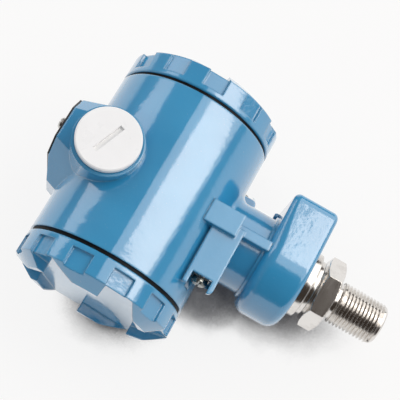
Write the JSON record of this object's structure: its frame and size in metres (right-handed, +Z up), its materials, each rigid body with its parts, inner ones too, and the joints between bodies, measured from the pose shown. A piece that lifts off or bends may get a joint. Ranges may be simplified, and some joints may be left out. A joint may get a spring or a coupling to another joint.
{
  "type": "pressure transmitter",
  "caption": "Pressure transmitter: a barrel housing with a threaded cover at each end, plugged conduit entries, a top plate, and a threaded stainless process fitting below.",
  "frame": {"origin": "centre of the process thread's tip, on the process axis", "axes": "+Z up along the process axis to the barrel, +Y along the barrel towards the rear cover, +X towards the right conduit entry"},
  "size_m": [0.092, 0.1208, 0.1779],
  "materials": {
    "blue_paint": "glossy powder coat with a slight orange peel over die-cast aluminium",
    "seal_rubber": "matte black rubber",
    "plug_finish": "smooth white",
    "plate_dark": "dark blank sheet",
    "stainless": "turned stainless steel",
    "block_plastic": "moulded dark plastic",
    "pin_brass": "plain brass",
    "board_green": "green lacquered circuit board",
    "component_black": "black moulded components",
    "sleeve_rubber": "flexible dark sleeve"
  },
  "bodies": {
    "housing": {"housing": "blue_paint", "top_plate": "plate_dark", "plate_screws": "stainless", "ground_clamps": "stainless", "ground_screws": "stainless", "terminal_block": "block_plastic", "terminal_screws": "stainless", "terminal_block_screws": "stainless", "inner_ground_screw": "stainless", "feedthrough": "block_plastic", "feedthrough_pins": "pin_brass", "electronics_board": "board_green", "board_components": "component_black", "board_standoffs": "pin_brass", "board_screws": "stainless", "sensor_connector": "component_black", "lead_sleeve": "sleeve_rubber", "sensor_capsule": "stainless", "sensor_seal": "seal_rubber", "sensor_retaining_ring": "stainless", "process_fitting": "stainless", "lock_screw": "stainless"},
    "front_seal": {"front_cover_seal": "seal_rubber"},
    "front_cover": {"front_cover": "blue_paint"},
    "rear_seal": {"rear_cover_seal": "seal_rubber"},
    "rear_cover": {"rear_cover": "blue_paint"},
    "right_washer": {"right_plug_washer": "seal_rubber"},
    "right_plug": {"right_conduit_plug": "plug_finish"},
    "left_washer": {"left_plug_washer": "seal_rubber"},
    "left_plug": {"left_conduit_plug": "plug_finish"}
  },
  "joints": [
    {"name": "front_cover_travel", "type": "slide", "parent": "housing", "child": "front_seal", "axis": [0, -1, 0], "range_m": [0, 0.0101]},
    {"name": "front_cover_turn", "type": "hinge", "parent": "front_seal", "child": "front_cover", "pos_m": [0, -0.0445, 0.126], "axis": [0, -1, 0], "range_deg": [0, 1800]},
    {"name": "rear_cover_travel", "type": "slide", "parent": "housing", "child": "rear_seal", "axis": [0, 1, 0], "range_m": [0, 0.0101]},
    {"name": "rear_cover_turn", "type": "hinge", "parent": "rear_seal", "child": "rear_cover", "pos_m": [0, 0.0445, 0.126], "axis": [0, 1, 0], "range_deg": [0, 1800]},
    {"name": "right_plug_travel", "type": "slide", "parent": "housing", "child": "right_washer", "axis": [1, 0, 0], "range_m": [0, 0.0098]},
    {"name": "right_plug_turn", "type": "hinge", "parent": "right_washer", "child": "right_plug", "pos_m": [0.043, 0, 0.1517], "axis": [1, 0, 0], "range_deg": [0, 2340]},
    {"name": "left_plug_travel", "type": "slide", "parent": "housing", "child": "left_washer", "axis": [-1, 0, 0], "range_m": [0, 0.0098]},
    {"name": "left_plug_turn", "type": "hinge", "parent": "left_washer", "child": "left_plug", "pos_m": [-0.043, 0, 0.1517], "axis": [-1, 0, 0], "range_deg": [0, 2340]}
  ],
  "couplings": [
    {"joint": "front_cover_travel", "follows": "front_cover_turn", "m_per_rad": 0.00031831},
    {"joint": "rear_cover_travel", "follows": "rear_cover_turn", "m_per_rad": 0.00031831},
    {"joint": "right_plug_travel", "follows": "right_plug_turn", "m_per_rad": 0.00023873},
    {"joint": "left_plug_travel", "follows": "left_plug_turn", "m_per_rad": 0.00023873}
  ]
}
